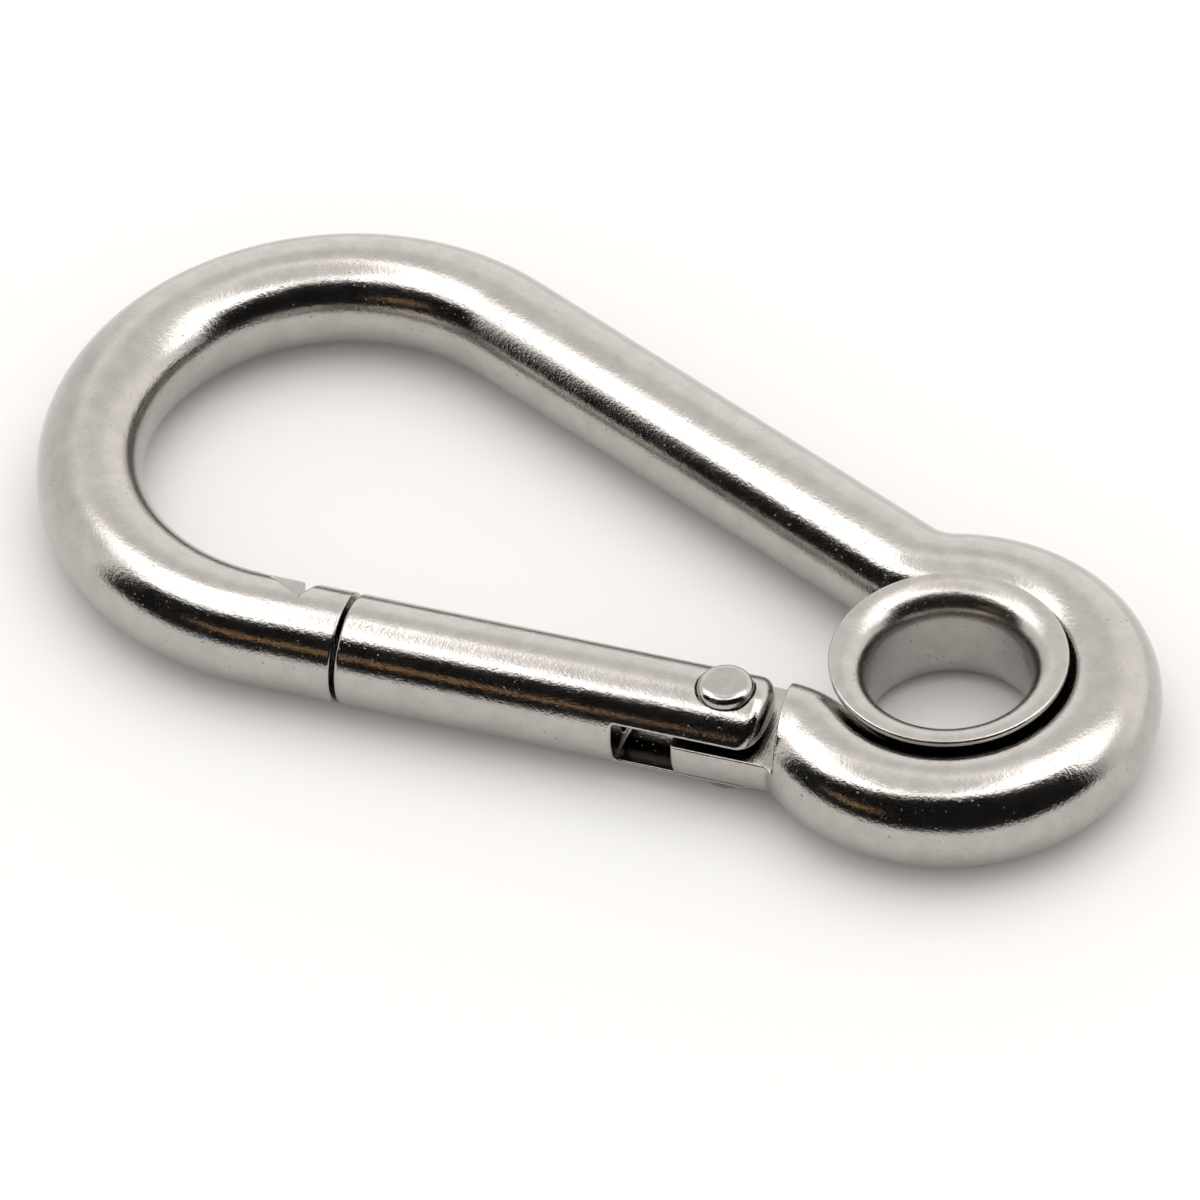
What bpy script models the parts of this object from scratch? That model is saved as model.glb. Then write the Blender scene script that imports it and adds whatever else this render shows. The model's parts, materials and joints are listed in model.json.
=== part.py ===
"""Snap hook bent from round stainless bar, with a sprung gate and a flared eyelet loose in its eye.

Metres, +Z up. The hook lies flat. The origin is under the middle of the whole hook, at the level of the
surface that it lies on. +X runs from the bow to the eye, and the gate is on the -Y side.
"""

import math

import bmesh
import bpy
from mathutils import Vector

MM = 0.001

# Overall sizes
OVERALL_LENGTH = 120 * MM
OVERALL_WIDTH = 60 * MM
BAR_DIAMETER = 11 * MM

# Eyelet: a tube flared over at both ends
EYELET_BORE = 16 * MM
EYELET_WALL = 1.2 * MM
EYELET_CLEARANCE = 0.3 * MM  # between the eyelet and the bar around it, all over
FLARE_REACH = 2.45 * MM  # how far the rim stands out from the tube
FLARE_START = 2.75 * MM  # height above the bar's middle where the bore starts to widen
RIM_PROUD = 0.4 * MM  # how far the rim stands above the bar
RIM_LAND = 0.6 * MM  # width of the flat ring on top of the rim
RIM_EDGE = 0.75 * MM  # height of the rim's outer side

# Bent bar
NECK_OFFSET = 9.55 * MM  # from the eye's centre to the middle of either arm
BACK_CREASE = 2.5 * MM  # radius of the crease outside the bar where the back arm meets the eye
GATE_CREASE = 1 * MM  # the same on the gate's side
BOW_THINNING = 0.045  # share by which the bend draws the bar thinner, across the bow
BOW_EASE = 0.2  # the thinning starts this share of the bow's radius before its centre

# Hinge. Lengths run along the gate from the rivet's axis.
PIVOT_FROM_EYE = 19.5 * MM
TONGUE_REACH = 4.2 * MM
TONGUE_TOP = 1.3 * MM  # above the bar's middle
TONGUE_DEPTH = 2.6 * MM  # below the bar's middle
UPPER_PLAY = 0.9 * MM  # between the tongue and the upper ear
SLOT_REACH = 10.1 * MM
EAR_REACH = 4.5 * MM
EAR_SQUARENESS = 3  # 2 makes the ears' ends elliptical in plan, more makes their corners squarer
SHOULDER_CLEARANCE = 1.4 * MM  # from the ears' ends to the shoulder, at the bar's middle
SHOULDER_SLOPE = 0.1  # how much further back the shoulder lies on the outer side, per unit across
SHANK_DIAMETER = 4 * MM
HEAD_DIAMETER = 5.6 * MM
SEAT_DEPTH = 0.9 * MM  # how deep the flat under each rivet head is cut into the ear
TOP_HEAD_PROUD = 0.8 * MM
LOWER_HEAD_PROUD = 0.4 * MM
HEAD_EDGE = 0.35 * MM
RUNNING_GAP = 0.3 * MM  # between pieces that touch

# Gate front and latch
GATE_LENGTH = 38.5 * MM
GATE_END_ROUNDING = 0.9 * MM
NOSE_GAP = 0.5 * MM
LIP_LENGTH = 3.45 * MM  # nose end to the notch, on the inner side
NOTCH_APEX = 4.8 * MM  # nose end to the notch's deepest line
NOTCH_FLOOR = 0.2 * MM  # that line's distance to the bar's middle
NOTCH_SLOPE = math.radians(35.7)
LATCH_PLAY = 0.8 * MM
LATCH_CLEARANCE = 0.5 * MM
LATCH_INSET = 1.25 * MM  # the latch's inner side, below the bar's
LATCH_HEAD_HEIGHT = 7 * MM
LATCH_NECK_HEIGHT = 2.6 * MM
LATCH_NECK_WIDTH = 2.1 * MM
LATCH_NECK_STEP = 0.15 * MM  # the neck's inner side, below the head's
LATCH_ROOT = 2 * MM  # how deep the neck runs into the gate
NOSE_SLOT_CLEARANCE = 0.4 * MM

# Spring and plunger inside the gate
BORE_CLEARANCE = 0.6 * MM  # round the plunger
BORE_DEPTH = 22 * MM
PLUNGER_LENGTH = 11 * MM
PLUNGER_EDGE = 0.5 * MM
SPRING_WIRE = 0.7 * MM
SPRING_CLEARANCE = 0.4 * MM  # round the spring
SPRING_TURNS = 11

# How finely round shapes are faceted
BAR_SIDES = 24
BEND_STEP = math.radians(7)
EYELET_SIDES = 48
FLARE_STEPS = 5
EAR_STEPS = 16
EDGE_STEPS = 3
PIN_SIDES = 24
WIRE_SIDES = 6
TURN_STEPS = 10
OVERCUT = 1 * MM  # how far cutters run past the piece

# Worked out from the sizes above
BAR_RADIUS = BAR_DIAMETER / 2
BACK_KINK_RADIUS = BAR_RADIUS + BACK_CREASE
GATE_KINK_RADIUS = BAR_RADIUS + GATE_CREASE
BARREL_RADIUS = EYELET_BORE / 2 + EYELET_WALL
RIM_RADIUS = BARREL_RADIUS + FLARE_REACH
EYE_RADIUS = BARREL_RADIUS + EYELET_CLEARANCE + BAR_RADIUS
BOW_RADIUS = OVERALL_WIDTH / 2 - BAR_RADIUS
BAR_LEVEL = BAR_RADIUS + max(RIM_PROUD, LOWER_HEAD_PROUD)
EYE = Vector((OVERALL_LENGTH / 2 - EYE_RADIUS - BAR_RADIUS, 0))
BOW = Vector((BAR_RADIUS * (1 - BOW_THINNING) + BOW_RADIUS - OVERALL_LENGTH / 2, 0))
ARM_SLANT = math.asin((BOW_RADIUS - NECK_OFFSET) / (EYE.x - BOW.x))
GATE_OUT = Vector((math.sin(ARM_SLANT), -math.cos(ARM_SLANT)))
TO_EYE = Vector((math.cos(ARM_SLANT), math.sin(ARM_SLANT)))
BACK_OUT = Vector((GATE_OUT.x, -GATE_OUT.y))
PIVOT = EYE + GATE_OUT * NECK_OFFSET - TO_EYE * PIVOT_FROM_EYE
SLOT_TOP = TONGUE_TOP + UPPER_PLAY
SLOT_FLOOR = -TONGUE_DEPTH - RUNNING_GAP
PLUNGER_DIAMETER = 2 * (min(SLOT_TOP, -SLOT_FLOOR) - RUNNING_GAP)
SPRING_BORE = PLUNGER_DIAMETER + 2 * BORE_CLEARANCE
SPRING_DIAMETER = SPRING_BORE - 2 * SPRING_CLEARANCE
NOSE_END = GATE_LENGTH + NOSE_GAP
NOTCH_X = NOSE_END + NOTCH_APEX
LATCH_INNER = BAR_RADIUS - LATCH_INSET


def material(name, colour, roughness):
    made = bpy.data.materials.new(name)
    made.use_nodes = True
    shader = made.node_tree.nodes["Principled BSDF"]
    shader.inputs["Base Color"].default_value = (*colour, 1)
    shader.inputs["Metallic"].default_value = 1
    shader.inputs["Roughness"].default_value = roughness
    made.diffuse_color = (*colour, 1)
    return made


def new_object(name, mesh, parent=None, finish=None):
    made = bpy.data.objects.new(name, mesh)
    bpy.context.collection.objects.link(made)
    made.parent = parent
    if finish:
        mesh.materials.append(finish)
        mesh.shade_smooth()
        mesh.set_sharp_from_angle(angle=math.radians(30))
    return made


def closed_mesh(name, points, faces):
    """A mesh with its faces turned outwards."""
    mesh = bpy.data.meshes.new(name)
    mesh.from_pydata(points, [], faces)
    shape = bmesh.new()
    shape.from_mesh(mesh)
    bmesh.ops.remove_doubles(shape, verts=shape.verts, dist=1e-7)
    bmesh.ops.recalc_face_normals(shape, faces=shape.faces)
    shape.to_mesh(mesh)
    shape.free()
    return mesh


def tube_mesh(name, stations, sides):
    """A closed tube along stations of (centre, side direction, up direction, half width, half height)."""
    points = []
    for centre, side, up, width, height in stations:
        for k in range(sides):
            turn = math.tau * k / sides
            points.append(centre + side * (width * math.cos(turn)) + up * (height * math.sin(turn)))
    faces = [list(range(sides)), list(range(len(points) - sides, len(points)))]
    for ring in range(len(stations) - 1):
        for k in range(sides):
            a, b = ring * sides + k, ring * sides + (k + 1) % sides
            faces.append((a, b, b + sides, a + sides))
    return closed_mesh(name, points, faces)


def turned_mesh(name, profile, sides, closed=False, along_x=False):
    """A profile of (radius, height) spun about Z, or about X. An open profile starts and ends on the axis."""
    points, rings = [], []
    for radius, height in profile:
        if radius < 1e-9:
            rings.append([len(points)] * sides)
            points.append(Vector((0, 0, height)))
            continue
        rings.append(list(range(len(points), len(points) + sides)))
        for k in range(sides):
            turn = math.tau * k / sides
            points.append(Vector((radius * math.cos(turn), radius * math.sin(turn), height)))
    if along_x:
        points = [Vector((p.z, p.x, p.y)) for p in points]
    faces = []
    for j in range(len(rings) if closed else len(rings) - 1):
        low, high = rings[j], rings[(j + 1) % len(rings)]
        for k in range(sides):
            n = (k + 1) % sides
            corners = list(dict.fromkeys((low[k], low[n], high[n], high[k])))
            faces.append(corners)
    return closed_mesh(name, points, faces)


def prism_mesh(name, outline, low, high):
    """An outline of (x, y) raised from low to high."""
    count = len(outline)
    points = [Vector((x, y, z)) for z in (low, high) for x, y in outline]
    faces = [list(range(count)), list(range(count, 2 * count))]
    faces += [(k, (k + 1) % count, (k + 1) % count + count, k + count) for k in range(count)]
    return closed_mesh(name, points, faces)


def box_mesh(name, low, high):
    outline = [(low[0], low[1]), (high[0], low[1]), (high[0], high[1]), (low[0], high[1])]
    return prism_mesh(name, outline, low[2], high[2])


def rod_mesh(name, radius, low, high, along_x=False):
    return turned_mesh(name, [(0, low), (radius, low), (radius, high), (0, high)], PIN_SIDES, along_x=along_x)


def helper(mesh, parent):
    made = new_object(mesh.name, mesh, parent)
    made.hide_render = True
    made.display_type = "WIRE"
    return made


def boolean(piece, mesh, parent, operation="DIFFERENCE"):
    step = piece.modifiers.new(mesh.name, "BOOLEAN")
    step.operation = operation
    step.object = helper(mesh, parent)


def line_stations(start, end, count=1):
    along = (end - start).normalized()
    return [(start.lerp(end, k / count), along) for k in range(count + 1)]


def arc_stations(centre, radius, start, sweep):
    """Points on an arc with the direction of travel at each, its extremes along X and Y included."""
    quarters = [math.pi / 2 * k for k in range(-4, 9)]
    low, high = sorted((start, start + sweep))
    stops = sorted([low, high] + [turn for turn in quarters if low < turn < high], reverse=sweep < 0)
    turns = [start]
    for first, last in zip(stops, stops[1:]):
        count = math.ceil(abs(last - first) / BEND_STEP)
        turns += [first + (last - first) * (k + 1) / count for k in range(count)]
    stations = []
    for turn in turns:
        out = Vector((math.cos(turn), math.sin(turn)))
        stations.append((centre + out * radius, Vector((-out.y, out.x)) * math.copysign(1, sweep)))
    return stations


def angle(direction):
    return math.atan2(direction.y, direction.x)


def short_turn(start, end):
    return (end - start + math.pi) % math.tau - math.pi


def kink_centre(out, radius):
    """The centre of the reverse bend that joins an arm to the eye's ring."""
    away = NECK_OFFSET + radius
    back = math.sqrt((EYE_RADIUS + radius) ** 2 - away**2)
    return EYE + out * away - Vector((math.cos(ARM_SLANT), -out.x * math.copysign(1, out.y))) * back


def bar_route():
    """The bar's centreline from the tongue's end, round the eye, the back arm and the bow, to the nose."""
    gate_kink = kink_centre(GATE_OUT, GATE_KINK_RADIUS)
    back_kink = kink_centre(BACK_OUT, BACK_KINK_RADIUS)
    arm_end = gate_kink - GATE_OUT * GATE_KINK_RADIUS
    route = line_stations(PIVOT - TO_EYE * TONGUE_REACH, arm_end)
    start, end = angle(-GATE_OUT), angle(EYE - gate_kink)
    route += arc_stations(gate_kink, GATE_KINK_RADIUS, start, short_turn(start, end))[1:]
    start, end = angle(gate_kink - EYE), angle(back_kink - EYE)
    route += arc_stations(EYE, EYE_RADIUS, start, (end - start) % math.tau)[1:]
    start, end = angle(EYE - back_kink), angle(-BACK_OUT)
    route += arc_stations(back_kink, BACK_KINK_RADIUS, start, short_turn(start, end))[1:]
    bow_start = angle(BACK_OUT)
    bow_sweep = (angle(GATE_OUT) - bow_start) % math.tau
    route += arc_stations(BOW, BOW_RADIUS, bow_start, bow_sweep)
    route += line_stations(BOW + GATE_OUT * BOW_RADIUS, PIVOT - TO_EYE * NOSE_END)[1:]
    return route


def bow_share(x):
    """0 along the arms, rising smoothly to 1 at the crown of the bow."""
    share = (BOW.x + BOW_EASE * BOW_RADIUS - x) / ((1 + BOW_EASE) * BOW_RADIUS)
    share = min(1, max(0, share))
    return share * share * (3 - 2 * share)


def notch_outline():
    """The sawtooth notch: a steep wall near the nose's end, and a long slope away from it."""
    lip = NOSE_END + LIP_LENGTH
    steep = (NOTCH_X - lip) / (BAR_RADIUS - NOTCH_FLOOR)
    depth = BAR_RADIUS - NOTCH_FLOOR + OVERCUT
    return [
        (NOTCH_X, -NOTCH_FLOOR),
        (NOTCH_X - steep * depth, -BAR_RADIUS - OVERCUT),
        (NOTCH_X + depth / math.tan(NOTCH_SLOPE), -BAR_RADIUS - OVERCUT),
    ]


def latch_outline():
    """The latch's head, which follows the notch's slope at a clearance."""
    back = NOTCH_X + LATCH_PLAY
    peak = -NOTCH_FLOOR - LATCH_PLAY * math.tan(NOTCH_SLOPE) - LATCH_CLEARANCE / math.cos(NOTCH_SLOPE)
    tip = back + (peak + LATCH_INNER) / math.tan(NOTCH_SLOPE)
    return [(back, -LATCH_INNER), (tip, -LATCH_INNER), (back, peak)]


def gate_outline(half_width):
    """Plan of the gate: straight sides, and round-cornered ends behind the rivet."""
    front = GATE_LENGTH + OVERCUT
    outline = [(front, half_width), (front, -half_width), (0, -half_width)]
    for k in range(EAR_STEPS + 1):
        turn = -math.pi / 2 - math.pi * k / EAR_STEPS
        back = EAR_REACH * abs(math.cos(turn)) ** (2 / EAR_SQUARENESS)
        across = BAR_RADIUS * abs(math.sin(turn)) ** (2 / EAR_SQUARENESS)
        outline.append((-back, math.copysign(across, math.sin(turn))))
    outline.append((0, half_width))
    return outline


def tongue_plan():
    """Plan of the cuts above and below the tongue, which end at the sloping shoulder."""
    reach = BAR_RADIUS + OVERCUT
    past = TONGUE_REACH + OVERCUT
    shoulder = -EAR_REACH - SHOULDER_CLEARANCE
    lean = SHOULDER_SLOPE * reach
    return [(shoulder + lean, -reach), (past, -reach), (past, reach), (shoulder - lean, reach)]


def make_hook_body(hinge, finish):
    reach = BAR_RADIUS + OVERCUT
    stations = []
    for point, along in bar_route():
        width = BAR_RADIUS * (1 - BOW_THINNING * bow_share(point.x))
        side = Vector((along.y, -along.x, 0))
        stations.append((Vector((*point, 0)), side, Vector((0, 0, 1)), width, BAR_RADIUS))
    mesh = tube_mesh("hook_body", stations, BAR_SIDES)
    piece = new_object("hook_body", mesh, finish=finish)
    piece.location.z = BAR_LEVEL
    boolean(piece, prism_mesh("above_tongue", tongue_plan(), TONGUE_TOP, reach), hinge)
    boolean(piece, prism_mesh("below_tongue", tongue_plan(), -reach, -TONGUE_DEPTH), hinge)
    hole = SHANK_DIAMETER / 2 + RUNNING_GAP
    boolean(piece, rod_mesh("tongue_hole", hole, -reach, reach), hinge)
    slot_half = LATCH_NECK_HEIGHT / 2 + NOSE_SLOT_CLEARANCE
    slot_floor = LATCH_CLEARANCE + LATCH_NECK_WIDTH - LATCH_INNER
    slot_low = (NOSE_END - OVERCUT, -reach, -slot_half)
    boolean(piece, box_mesh("nose_slot", slot_low, (NOTCH_X + LATCH_PLAY, slot_floor, slot_half)), hinge)
    boolean(piece, prism_mesh("nose_notch", notch_outline(), -reach, reach), hinge)
    return piece


def make_gate(hinge, finish):
    """The rod with its latch joined on, and the fork slot, holes, rivet seats and spring bore cut."""
    reach = BAR_RADIUS + OVERCUT
    start = -EAR_REACH - OVERCUT
    rod = [(0, start), (BAR_RADIUS, start)]
    for k in range(EDGE_STEPS + 1):
        turn = math.pi / 2 * k / EDGE_STEPS
        radius = BAR_RADIUS - GATE_END_ROUNDING * (1 - math.cos(turn))
        rod.append((radius, GATE_LENGTH - GATE_END_ROUNDING * (1 - math.sin(turn))))
    rod.append((0, GATE_LENGTH))
    piece = new_object("gate", turned_mesh("gate", rod, BAR_SIDES, along_x=True), hinge, finish)
    boolean(piece, prism_mesh("ear_ends", gate_outline(reach), -reach, reach), hinge, "INTERSECT")
    neck_low = (GATE_LENGTH - LATCH_ROOT, LATCH_NECK_STEP - LATCH_INNER, -LATCH_NECK_HEIGHT / 2)
    neck_high = (NOTCH_X + LATCH_PLAY + OVERCUT, LATCH_NECK_WIDTH - LATCH_INNER, LATCH_NECK_HEIGHT / 2)
    boolean(piece, box_mesh("latch_neck", neck_low, neck_high), hinge, "UNION")
    head_half = LATCH_HEAD_HEIGHT / 2
    boolean(piece, prism_mesh("latch_head", latch_outline(), -head_half, head_half), hinge, "UNION")
    slot = box_mesh("fork_slot", (start, -reach, SLOT_FLOOR), (SLOT_REACH, reach, SLOT_TOP))
    boolean(piece, slot, hinge)
    boolean(piece, rod_mesh("ear_holes", SHANK_DIAMETER / 2 + RUNNING_GAP, -reach, reach), hinge)
    seat = HEAD_DIAMETER / 2 + RUNNING_GAP
    floor = BAR_RADIUS - SEAT_DEPTH
    boolean(piece, rod_mesh("upper_seat", seat, floor, reach), hinge)
    boolean(piece, rod_mesh("lower_seat", seat, -reach, -floor), hinge)
    bore_start, bore_end = SLOT_REACH - OVERCUT, SLOT_REACH + BORE_DEPTH
    boolean(piece, rod_mesh("spring_bore", SPRING_BORE / 2, bore_start, bore_end, along_x=True), hinge)
    return piece


def make_rivet(hinge, finish):
    """Shank with a flat head above and a lower, closed-over head below."""
    shank, head = SHANK_DIAMETER / 2, HEAD_DIAMETER / 2
    seat = BAR_RADIUS - SEAT_DEPTH + RUNNING_GAP
    top, bottom = BAR_RADIUS + TOP_HEAD_PROUD, -BAR_RADIUS - LOWER_HEAD_PROUD
    profile = [(0, bottom), (head - 2 * HEAD_EDGE, bottom), (head, bottom + HEAD_EDGE), (head, -seat)]
    profile += [(shank, -seat), (shank, seat), (head, seat)]
    profile += [(head, top - HEAD_EDGE), (head - HEAD_EDGE, top), (0, top)]
    return new_object("hinge_rivet", turned_mesh("hinge_rivet", profile, PIN_SIDES), hinge, finish)


def make_plunger(hinge, finish):
    """Round pin, both ends eased, one gap away from the tongue's end."""
    start = TONGUE_REACH + RUNNING_GAP
    end, radius = start + PLUNGER_LENGTH, PLUNGER_DIAMETER / 2
    profile = [(0, start), (radius - PLUNGER_EDGE, start), (radius, start + PLUNGER_EDGE)]
    profile += [(radius, end - PLUNGER_EDGE), (radius - PLUNGER_EDGE, end), (0, end)]
    mesh = turned_mesh("spring_plunger", profile, PIN_SIDES, along_x=True)
    return new_object("spring_plunger", mesh, hinge, finish)


def make_spring(hinge, finish):
    """Coil between the plunger's back and the bottom of the bore."""
    start = TONGUE_REACH + RUNNING_GAP + PLUNGER_LENGTH + RUNNING_GAP + SPRING_WIRE / 2
    end = SLOT_REACH + BORE_DEPTH - RUNNING_GAP - SPRING_WIRE / 2
    radius = (SPRING_DIAMETER - SPRING_WIRE) / 2
    steps = SPRING_TURNS * TURN_STEPS
    rise = (end - start) / (math.tau * SPRING_TURNS)
    stations = []
    for k in range(steps + 1):
        turn = math.tau * SPRING_TURNS * k / steps
        out = Vector((0, math.cos(turn), math.sin(turn)))
        along = Vector((rise, -radius * out.z, radius * out.y)).normalized()
        centre = Vector((start + rise * turn, 0, 0)) + out * radius
        stations.append((centre, out, along.cross(out), SPRING_WIRE / 2, SPRING_WIRE / 2))
    return new_object("gate_spring", tube_mesh("gate_spring", stations, WIRE_SIDES), hinge, finish)


def make_eyelet(finish):
    """The wall's section: from the bore's middle up the flare, over the rim, and down beside the bar."""
    level = BAR_RADIUS + RIM_PROUD
    bore, land = EYELET_BORE / 2, RIM_RADIUS - RIM_LAND
    upper = [(bore, 0)]
    for k in range(FLARE_STEPS + 1):
        turn = math.pi / 2 * k / FLARE_STEPS
        radius = bore + (land - bore) * (1 - math.cos(turn))
        upper.append((radius, FLARE_START + (level - FLARE_START) * math.sin(turn)))
    upper += [(RIM_RADIUS, level), (RIM_RADIUS, level - RIM_EDGE)]
    clear = BAR_RADIUS + EYELET_CLEARANCE
    start = math.acos((EYE_RADIUS - RIM_RADIUS + RIM_EDGE / 2) / clear)
    for k in range(FLARE_STEPS + 1):
        turn = start * (1 - k / FLARE_STEPS)
        upper.append((EYE_RADIUS - clear * math.cos(turn), clear * math.sin(turn)))
    lower = [(radius, -height) for radius, height in reversed(upper[1:-1])]
    mesh = turned_mesh("eyelet", upper + lower, EYELET_SIDES, closed=True)
    piece = new_object("eyelet", mesh, finish=finish)
    piece.location = (EYE.x, EYE.y, BAR_LEVEL)
    return piece


def main():
    for old in list(bpy.data.objects):
        bpy.data.objects.remove(old)
    tumbled = material("tumbled_steel", (0.62, 0.60, 0.57), 0.22)
    formed = material("formed_steel", (0.60, 0.58, 0.55), 0.3)
    wire = material("spring_wire", (0.45, 0.44, 0.42), 0.35)
    hinge = bpy.data.objects.new("gate_hinge", None)
    bpy.context.collection.objects.link(hinge)
    hinge.location = (PIVOT.x, PIVOT.y, BAR_LEVEL)
    hinge.rotation_euler.z = math.pi + ARM_SLANT
    make_hook_body(hinge, tumbled)
    make_gate(hinge, tumbled)
    make_rivet(hinge, formed)
    make_plunger(hinge, formed)
    make_spring(hinge, wire)
    make_eyelet(formed)


main()
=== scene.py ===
"""Snap hook with a sprung, riveted gate and a flared eyelet loose in its eye.

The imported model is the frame. Every piece is a smooth, finished version of one solid in that frame.
"""

import json
import math

import bmesh
import bpy
import numpy as np
from bpy.props import FloatProperty, FloatVectorProperty, IntProperty, PointerProperty
from mathutils import Matrix, Vector


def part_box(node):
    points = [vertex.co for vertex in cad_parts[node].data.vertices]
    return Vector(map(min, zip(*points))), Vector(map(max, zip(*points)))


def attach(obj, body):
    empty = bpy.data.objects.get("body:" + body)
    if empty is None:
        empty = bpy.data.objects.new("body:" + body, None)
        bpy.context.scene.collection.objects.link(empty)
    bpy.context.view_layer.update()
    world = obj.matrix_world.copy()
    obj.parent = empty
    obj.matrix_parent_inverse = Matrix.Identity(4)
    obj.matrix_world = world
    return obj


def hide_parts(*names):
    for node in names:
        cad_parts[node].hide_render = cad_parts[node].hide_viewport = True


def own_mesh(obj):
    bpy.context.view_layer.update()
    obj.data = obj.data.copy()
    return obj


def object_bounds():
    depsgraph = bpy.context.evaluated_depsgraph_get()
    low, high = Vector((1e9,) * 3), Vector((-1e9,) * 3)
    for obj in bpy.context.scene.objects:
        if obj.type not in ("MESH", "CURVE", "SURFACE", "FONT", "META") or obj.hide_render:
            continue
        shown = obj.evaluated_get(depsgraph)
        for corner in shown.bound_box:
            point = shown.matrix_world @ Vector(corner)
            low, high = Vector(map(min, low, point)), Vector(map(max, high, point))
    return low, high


bl_info = {
    "name": "Snap hook",
    "version": (1, 0, 0),
    "blender": (4, 5, 0),
    "location": "3D View > Sidebar > Snap hook",
    "description": "Builds a snap hook with a sprung gate and a loose eyelet",
    "category": "Add Mesh",
}

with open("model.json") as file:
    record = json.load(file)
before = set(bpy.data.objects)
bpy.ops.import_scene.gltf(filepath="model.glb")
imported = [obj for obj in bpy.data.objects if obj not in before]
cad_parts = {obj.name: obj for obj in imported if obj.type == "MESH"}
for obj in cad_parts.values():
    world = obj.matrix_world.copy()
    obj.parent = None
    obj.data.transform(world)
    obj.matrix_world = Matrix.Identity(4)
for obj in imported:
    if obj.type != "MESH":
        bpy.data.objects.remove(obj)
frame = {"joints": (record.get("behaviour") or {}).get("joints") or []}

MM = 0.001
UP = Vector((0, 0, 1))


def joint(name):
    return next(made for made in frame["joints"] if made["name"] == name)


# Places taken from the frame
CAD_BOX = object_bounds()
HOOK_LOW, HOOK_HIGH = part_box("hook_body")
RIVET_LOW, RIVET_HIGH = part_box("hinge_rivet")
EYELET_LOW, EYELET_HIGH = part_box("eyelet")
PIVOT = Vector(joint("gate_hinge")["pos_m"])
EYE = Vector(joint("eyelet_spin")["pos_m"])
TO_NOSE = Vector(joint("plunger_slide")["axis"])
PLUNGER_TRAVEL = joint("plunger_slide")["range_m"][1]
OUTWARD = UP.cross(TO_NOSE)
BAR_RADIUS = (HOOK_HIGH.z - HOOK_LOW.z) / 2
LEVEL = EYE.z  # height of the bar's middle
RIM_RADIUS = (EYELET_HIGH.y - EYELET_LOW.y) / 2

# Bent bar
EYE_RADIUS = HOOK_HIGH.x - BAR_RADIUS - EYE.x
BOW_RADIUS = 24.5 * MM
BOW_THINNING = 0.045  # share by which the bend draws the bar thinner
BOW_X = HOOK_LOW.x + BAR_RADIUS * (1 - BOW_THINNING) + BOW_RADIUS
BOW = Vector((BOW_X, 0, 0))
BOW_EASE = 0.2
NECK_OFFSET = 9.55 * MM
BACK_KINK_RADIUS = BAR_RADIUS + 2.5 * MM
GATE_KINK_RADIUS = BAR_RADIUS + 1 * MM

# Hinge. Lengths run along the gate from the rivet's axis.
TONGUE_REACH = 4.2 * MM
TONGUE_TOP = 1.3 * MM
TONGUE_FLOOR = -2.6 * MM
SLOT_TOP = 2.2 * MM
SLOT_FLOOR = -2.9 * MM
SLOT_REACH = 10.1 * MM
EAR_REACH = 4.5 * MM
EAR_SQUARENESS = (3, 2.2)  # on the outer side, on the inner side
SHOULDER = -5.9 * MM
SHOULDER_SLOPE = 0.1
HINGE_END = 15 * MM  # along the bar's route, past the hinge's cuts
HOLE_RADIUS = 2.3 * MM
SEAT_LEVEL = 5.05 * MM
SEAT_CLEARANCE = 0.12 * MM
SHANK_RADIUS = 2 * MM
RIVET_HEAD_RADIUS = (RIVET_HIGH.x - RIVET_LOW.x) / 2
LOWER_CHAMFER = (0.5 * MM, 0.35 * MM)  # of the rivet's lower head, across and up

# Gate front and latch
GATE_LENGTH = 38.65 * MM
NOSE_END = 39 * MM
LIP = 42.45 * MM
NOTCH = (43.8 * MM, -0.2 * MM)
NOTCH_SLOPE = math.radians(35.7)
NOSE_SLOT_HALF = 1.7 * MM
NOSE_SLOT_FLOOR = -1.65 * MM
LATCH_BACK = 44.6 * MM
LATCH_PEAK = -1.39 * MM
LATCH_INNER = -4.25 * MM
LATCH_HEAD_HALF = 3.5 * MM
LATCH_NECK_HALF = 1.3 * MM
LATCH_NECK = (-4.1 * MM, -2.15 * MM)
LATCH_ROOT = 36.5 * MM
LATCH_NECK_END = 45.6 * MM
LIP_BLEND = (-0.3 * MM, 0.6 * MM)  # from the notch's floor, where the edge's rounding grows to the lip's

# Spring and plunger
BORE_RADIUS = 2.5 * MM
BORE_END = 32.1 * MM
PLUNGER_RADIUS = 1.9 * MM
PLUNGER = (4.5 * MM, 15.5 * MM)
SPRING = (15.8 * MM, 31.8 * MM)
COIL_RADIUS = 2.1 * MM
BORE_START = SLOT_REACH - 1 * MM

# Eyelet
BORE = 8 * MM
FLARE_START = 2.75 * MM
RIM_LAND = 0.6 * MM
RIM_EDGE = 0.75 * MM
RIM_GAP = 0.3 * MM
RIM_WIDTH = 0.6 * MM

# Skins of the bar and the gate
SETTLE_REACH = 0.1 * MM  # the furthest that a point moves in one step onto the surface
GRID_MARGIN = 0.3 * MM
NOSE_DETAIL = 13.4 * MM  # length of the nose that the finer grid covers
ON_FACE = 0.03 * MM  # a point nearer than this to a milled face's level lies on it

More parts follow.
